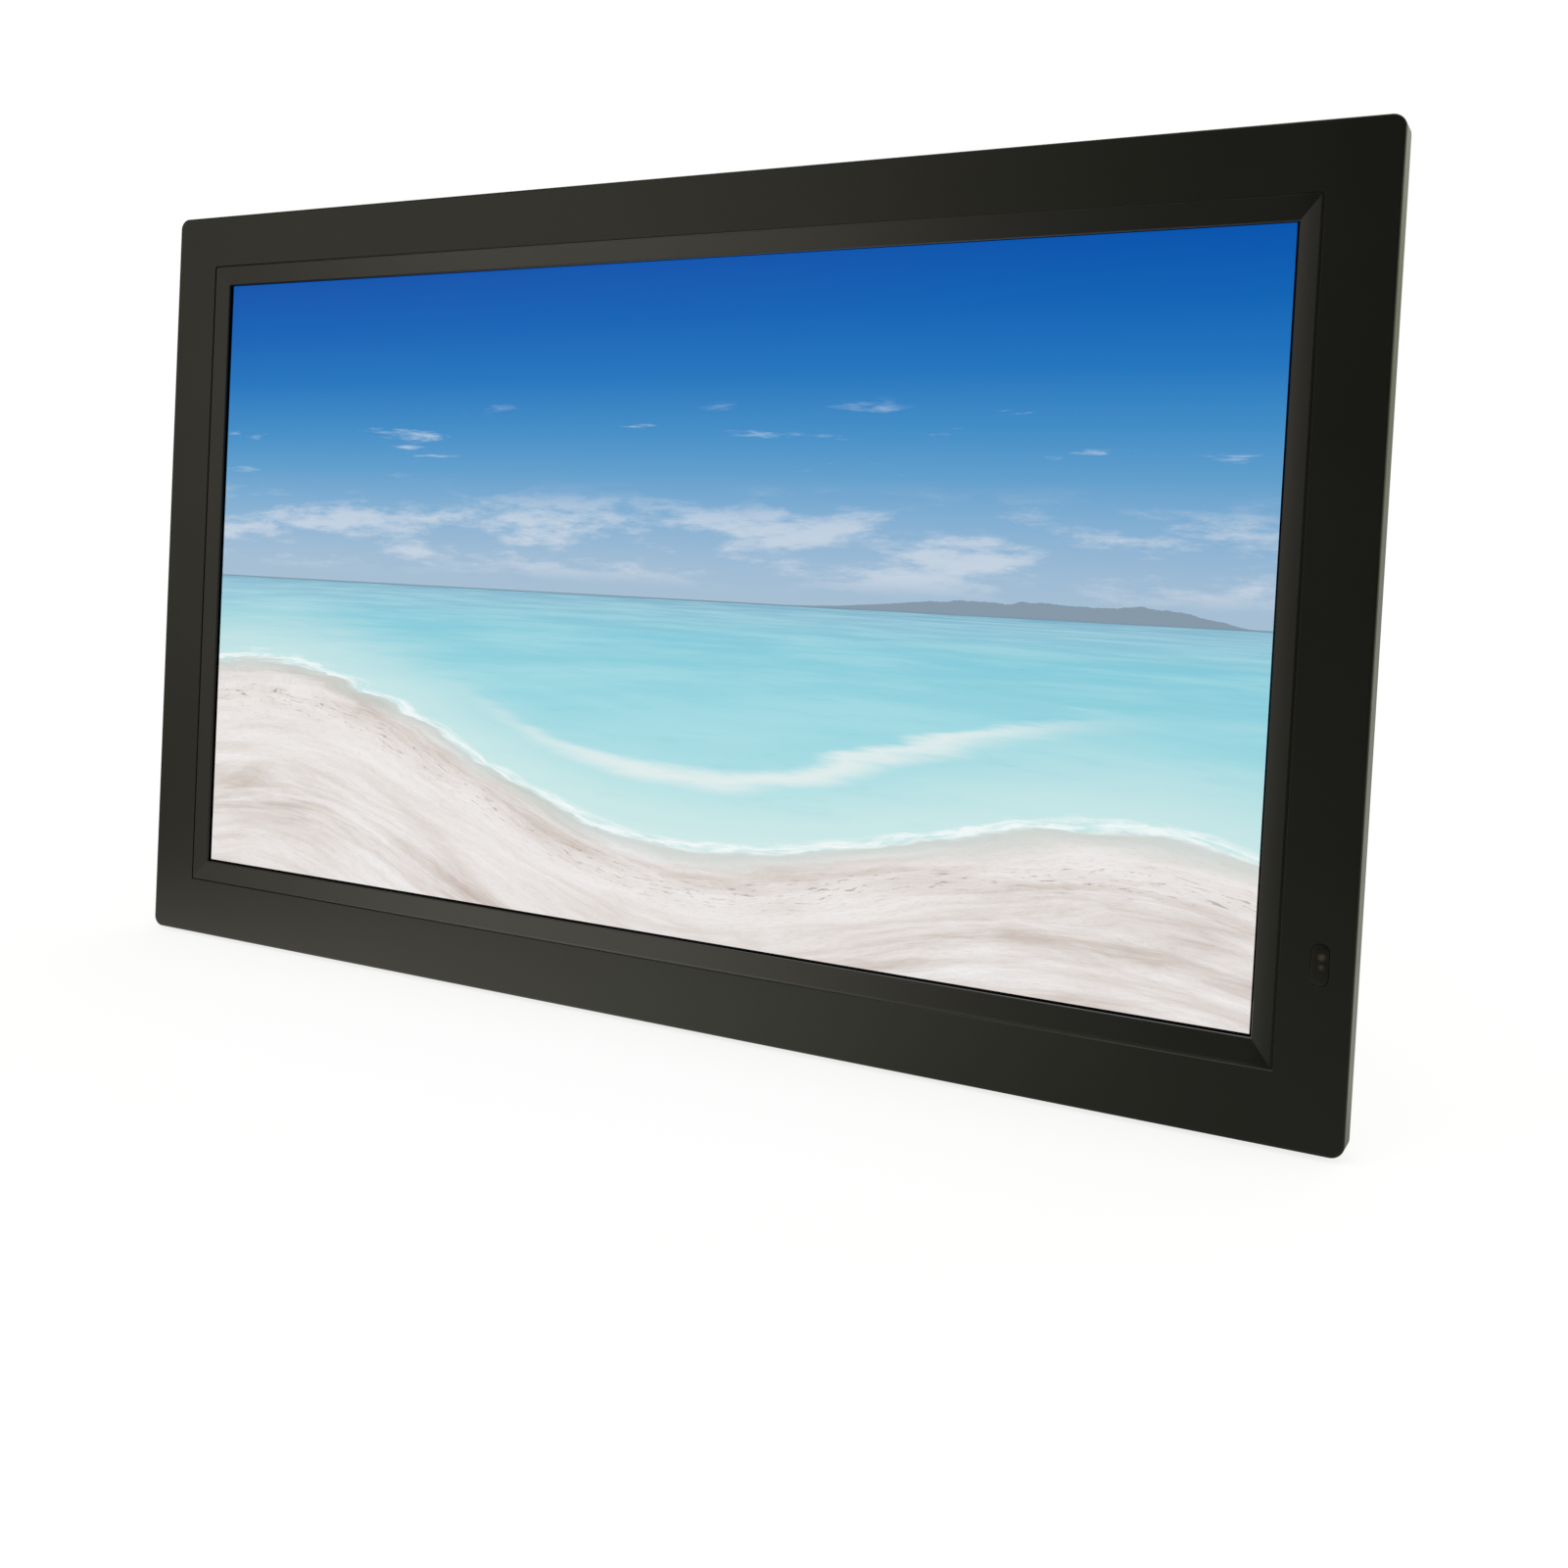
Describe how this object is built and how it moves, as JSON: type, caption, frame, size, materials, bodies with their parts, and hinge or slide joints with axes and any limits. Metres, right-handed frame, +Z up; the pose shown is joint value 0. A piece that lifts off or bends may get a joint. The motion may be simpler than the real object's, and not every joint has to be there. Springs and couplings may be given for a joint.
{
  "type": "digital photo frame",
  "caption": "Widescreen digital photo frame with a flat border, sloped inner bevel, rear control buttons, sockets, wall-mount inserts and a fold-out rear leg.",
  "frame": {"origin": "on the table, midway between the front feet and the open leg, halfway across the width", "axes": "+X to the right as seen from the front, +Y to the rear, +Z up; the screen faces -Y and leans back by 6 degrees"},
  "size_m": [0.4654, 0.124, 0.2876],
  "materials": {
    "front_black": "satin moulded black",
    "bevel_black": "satin moulded black, a little shinier than the border",
    "rear_black": "fine-textured moulded black",
    "key_black": "satin moulded black",
    "rubber_black": "matt rubber",
    "steel": "plated sheet and wire steel",
    "brass": "turned",
    "picture": "anti-glare screen surface, lit from behind",
    "smoked": "smoked infrared window",
    "white_plastic": "white optical sheet",
    "guide_clear": "clear acrylic light guide",
    "board_green": "circuit board with green mask",
    "component_black": "moulded electronic parts",
    "aluminium": "extruded, natural"
  },
  "bodies": {
    "housing": {"front_frame": "front_black", "bevel_ring": "bevel_black", "lcd_cell": "picture", "rear_cover": "rear_black", "ir_window": "smoked", "module_bezel": "steel", "module_mid_frame": "key_black", "prism_sheet": "white_plastic", "diffuser_sheet": "white_plastic", "light_guide": "guide_clear", "led_strip": "aluminium", "reflector_sheet": "white_plastic", "module_back_tray": "steel", "ir_receiver": "component_black", "indicator_led": "component_black", "ir_board": "board_green", "main_board": "board_green", "main_chip": "component_black", "heat_sink": "aluminium", "timing_board": "board_green", "ribbon_cable": "white_plastic", "key_board": "board_green", "speaker_left": "component_black", "speaker_right": "component_black", "switch_body": "component_black", "foot_left": "rubber_black", "foot_right": "rubber_black", "dc_jack": "component_black", "audio_jack": "component_black", "hdmi_socket": "steel", "usb_socket": "steel", "card_slot": "steel", "leg_bracket": "steel", "hinge_pin": "steel", "hinge_washer_left": "steel", "hinge_washer_right": "steel", "cover_screw_1": "steel", "cover_screw_2": "steel", "cover_screw_3": "steel", "cover_screw_4": "steel", "cover_screw_5": "steel", "cover_screw_6": "steel", "cover_screw_7": "steel", "cover_screw_8": "steel", "wall_insert_1": "brass", "wall_insert_2": "brass", "wall_insert_3": "brass", "wall_insert_4": "brass"},
    "leg": {"stand_leg": "rear_black", "leg_pad_left": "rubber_black", "leg_pad_right": "rubber_black"},
    "switch": {"switch_knob": "key_black"},
    "power_key": {"power_button": "key_black"},
    "menu_key": {"menu_button": "key_black"},
    "up_key": {"up_button": "key_black"},
    "down_key": {"down_button": "key_black"},
    "left_key": {"left_button": "key_black"},
    "right_key": {"right_button": "key_black"},
    "enter_key": {"enter_button": "key_black"}
  },
  "joints": [
    {"name": "leg_hinge", "type": "hinge", "parent": "housing", "child": "leg", "pos_m": [0, -0.02202, 0.05732], "axis": [1, 0, 0], "range_deg": [0, 120]},
    {"name": "switch_slide", "type": "slide", "parent": "housing", "child": "switch", "axis": [1, 0, 0], "range_m": [0, 0.003]},
    {"name": "power_press", "type": "slide", "parent": "housing", "child": "power_key", "axis": [0, -0.9945, 0.1045], "range_m": [0, 0.0007], "stiffness_N_per_m": 1500},
    {"name": "menu_press", "type": "slide", "parent": "housing", "child": "menu_key", "axis": [0, -0.9945, 0.1045], "range_m": [0, 0.0007], "stiffness_N_per_m": 1500},
    {"name": "up_press", "type": "slide", "parent": "housing", "child": "up_key", "axis": [0, -0.9945, 0.1045], "range_m": [0, 0.0007], "stiffness_N_per_m": 1500},
    {"name": "down_press", "type": "slide", "parent": "housing", "child": "down_key", "axis": [0, -0.9945, 0.1045], "range_m": [0, 0.0007], "stiffness_N_per_m": 1500},
    {"name": "left_press", "type": "slide", "parent": "housing", "child": "left_key", "axis": [0, -0.9945, 0.1045], "range_m": [0, 0.0007], "stiffness_N_per_m": 1500},
    {"name": "right_press", "type": "slide", "parent": "housing", "child": "right_key", "axis": [0, -0.9945, 0.1045], "range_m": [0, 0.0007], "stiffness_N_per_m": 1500},
    {"name": "enter_press", "type": "slide", "parent": "housing", "child": "enter_key", "axis": [0, -0.9945, 0.1045], "range_m": [0, 0.0007], "stiffness_N_per_m": 1500}
  ]
}
